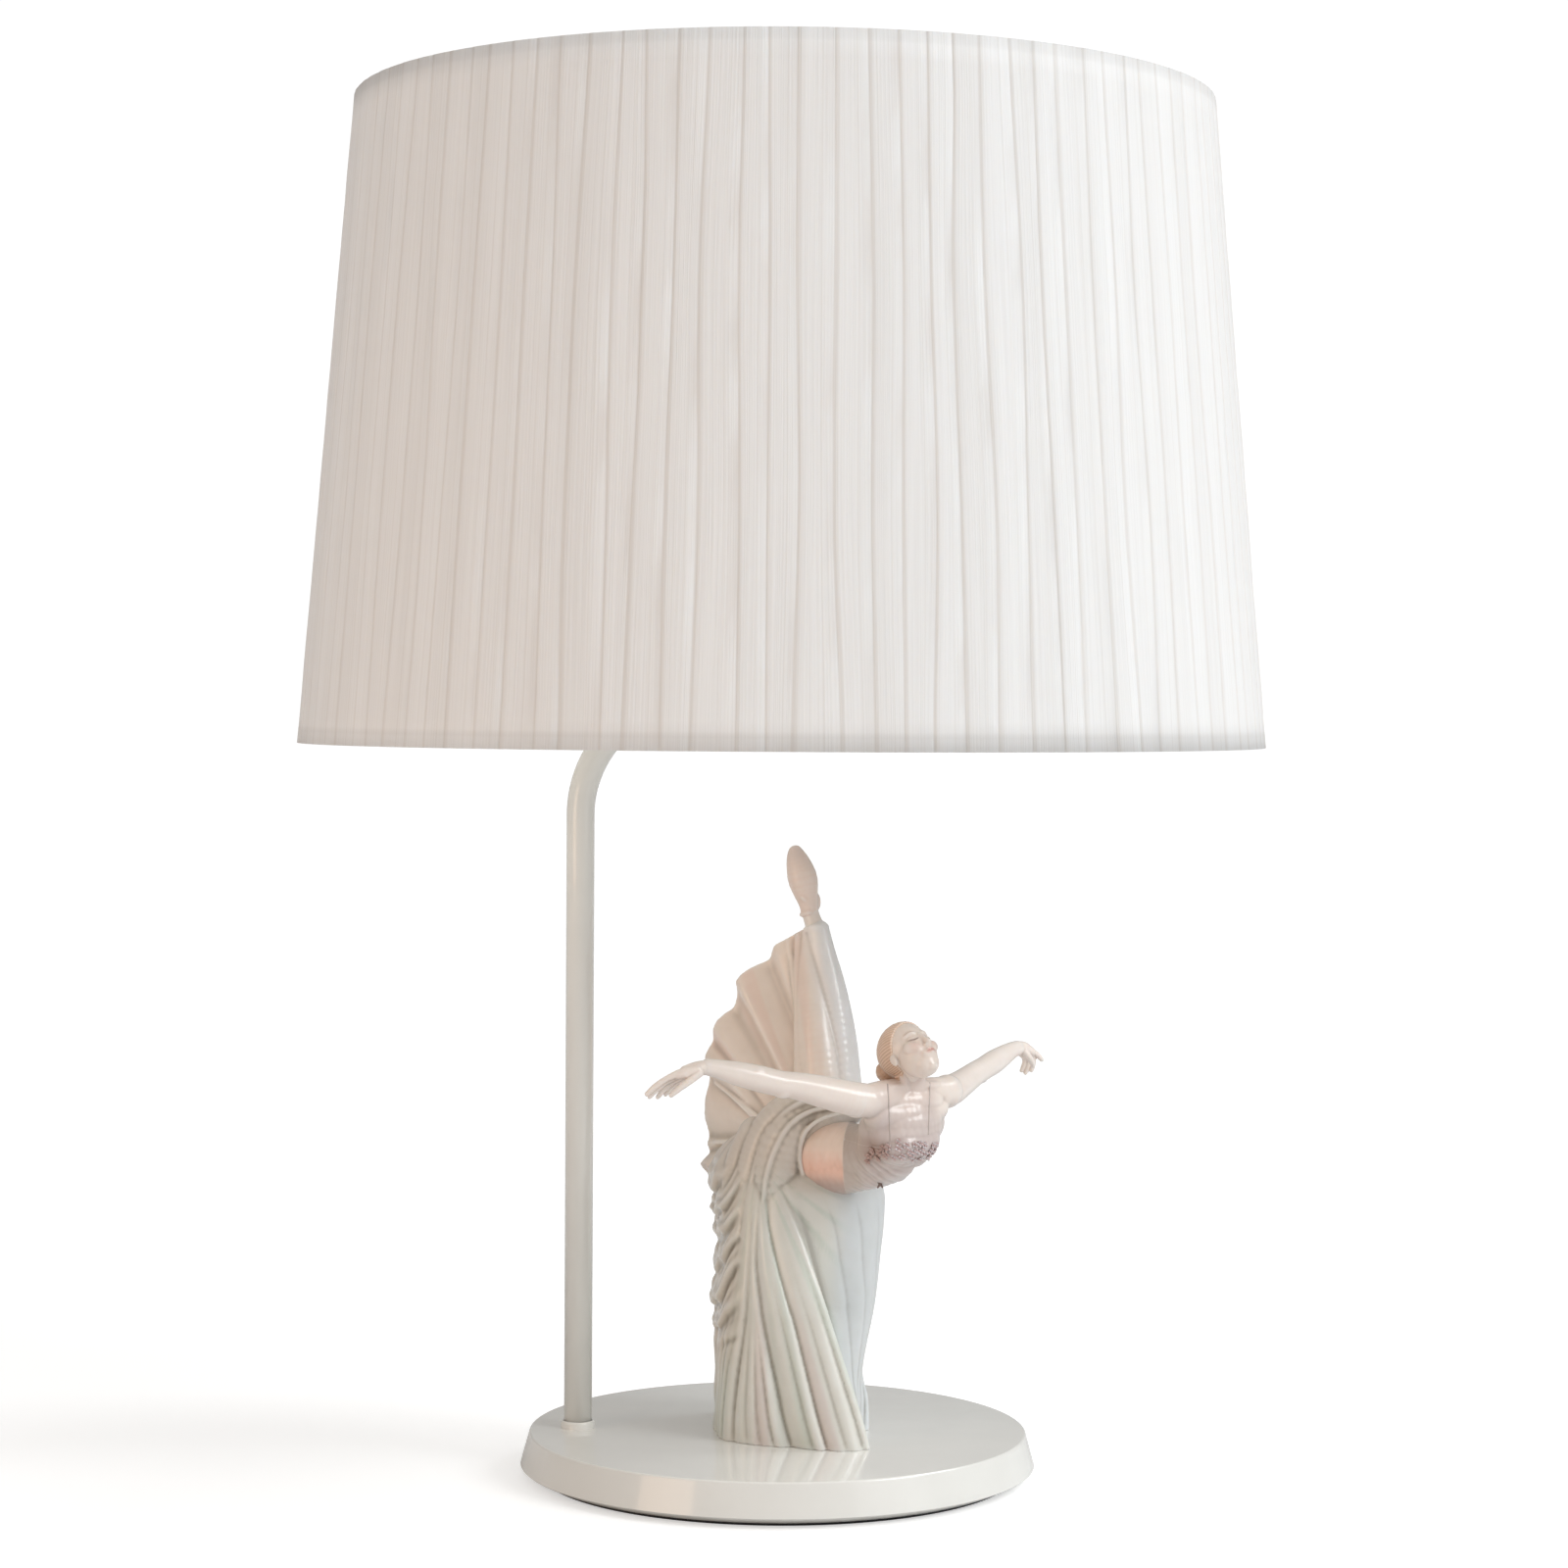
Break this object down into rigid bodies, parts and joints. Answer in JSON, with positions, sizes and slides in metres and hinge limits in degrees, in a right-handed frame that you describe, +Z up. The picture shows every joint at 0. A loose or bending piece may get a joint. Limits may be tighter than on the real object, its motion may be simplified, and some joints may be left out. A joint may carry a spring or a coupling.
{
  "type": "figurine table lamp",
  "caption": "Table lamp with a glazed porcelain dancer fixed on its round base, a bent tube stem and a conical pleated fabric shade.",
  "frame": {"origin": "centre of the underside, on the axis of the shade and the base", "axes": "+Z up, +X from the stem towards the lamp's axis, -Y the front that the dancer leans towards"},
  "size_m": [0.4099, 0.41, 0.5825],
  "materials": {
    "lacquer": "glossy warm-white lacquer",
    "ballast_iron": "rough cast, blackened",
    "plated_steel": "zinc plated",
    "felt": "pressed felt",
    "bushing_plastic": "moulded, satin",
    "holder_plastic": "moulded, satin",
    "holder_ceramic": "unglazed steatite",
    "contact_brass": "plain brass",
    "bulb_glass": "opal",
    "bulb_metal": "rolled",
    "bulb_insulation": "black vitrite",
    "shade_frame": "white powder coat",
    "shade_liner": "translucent matte",
    "shade_fabric": "pleated off-white voile, translucent",
    "porcelain_white": "glossy glaze with pale green and blue tints",
    "porcelain_blush": "glossy glaze, blush and salmon tints",
    "porcelain_skin": "glossy glaze, pale flesh tint",
    "porcelain_lilac": "glossy glaze, grey-lilac",
    "porcelain_hair": "glossy glaze, light tan",
    "plaster": "cast plaster"
  },
  "bodies": {
    "stand": {"base_disc": "lacquer", "ballast_plate": "ballast_iron", "ballast_screws": "plated_steel", "base_cover": "plated_steel", "cover_screws": "plated_steel", "felt_pad": "felt", "cable_bushing": "bushing_plastic", "stem_collar": "lacquer", "stem_tube": "lacquer", "stem_stud": "plated_steel", "stem_washer": "plated_steel", "stem_nut": "plated_steel", "holder_nipple": "plated_steel", "holder_cap": "holder_plastic", "holder_locknut": "plated_steel", "holder_core": "holder_ceramic", "holder_contact": "contact_brass", "holder_screw_shell": "contact_brass", "holder_shell": "holder_plastic", "shade_ring_lower": "holder_plastic", "dancer_skirt": "porcelain_white", "dancer_train": "porcelain_blush", "dancer_raised_leg": "porcelain_skin", "dancer_slipper": "porcelain_blush", "dancer_hip_sash": "porcelain_blush", "dancer_bodice": "porcelain_lilac", "dancer_chest": "porcelain_skin", "dancer_head": "porcelain_skin", "dancer_hair": "porcelain_hair", "dancer_bun": "porcelain_hair", "dancer_right_arm": "porcelain_skin", "dancer_right_hand": "porcelain_skin", "dancer_left_arm": "porcelain_skin", "dancer_left_hand": "porcelain_skin", "dancer_flowers": "porcelain_lilac", "dancer_straps": "porcelain_lilac", "dancer_plug": "plaster", "dancer_insert": "contact_brass", "dancer_bolt": "plated_steel", "dancer_washer": "plated_steel"},
    "shade": {"shade_fitter": "shade_frame", "shade_spider": "shade_frame", "shade_bottom_wire": "shade_frame", "shade_top_wire": "shade_frame", "shade_liner": "shade_liner", "shade_fabric": "shade_fabric", "shade_top_binding": "shade_fabric", "shade_bottom_binding": "shade_fabric"},
    "shade_ring": {"shade_ring_upper": "holder_plastic"},
    "bulb": {"bulb_glass": "bulb_glass", "bulb_cap": "bulb_metal", "bulb_insulator": "bulb_insulation"}
  },
  "joints": [
    {"name": "shade_turn", "type": "hinge", "parent": "stand", "child": "shade", "pos_m": [0, 0, 0.4], "axis": [0, 0, 1], "continuous": true},
    {"name": "shade_ring_turn", "type": "hinge", "parent": "stand", "child": "shade_ring", "pos_m": [0, 0, 0.4026], "axis": [0, 0, 1], "continuous": true},
    {"name": "bulb_turn", "type": "hinge", "parent": "stand", "child": "bulb", "pos_m": [0, 0, 0.42], "axis": [0, 0, 1], "range_deg": [0, 1440]}
  ]
}
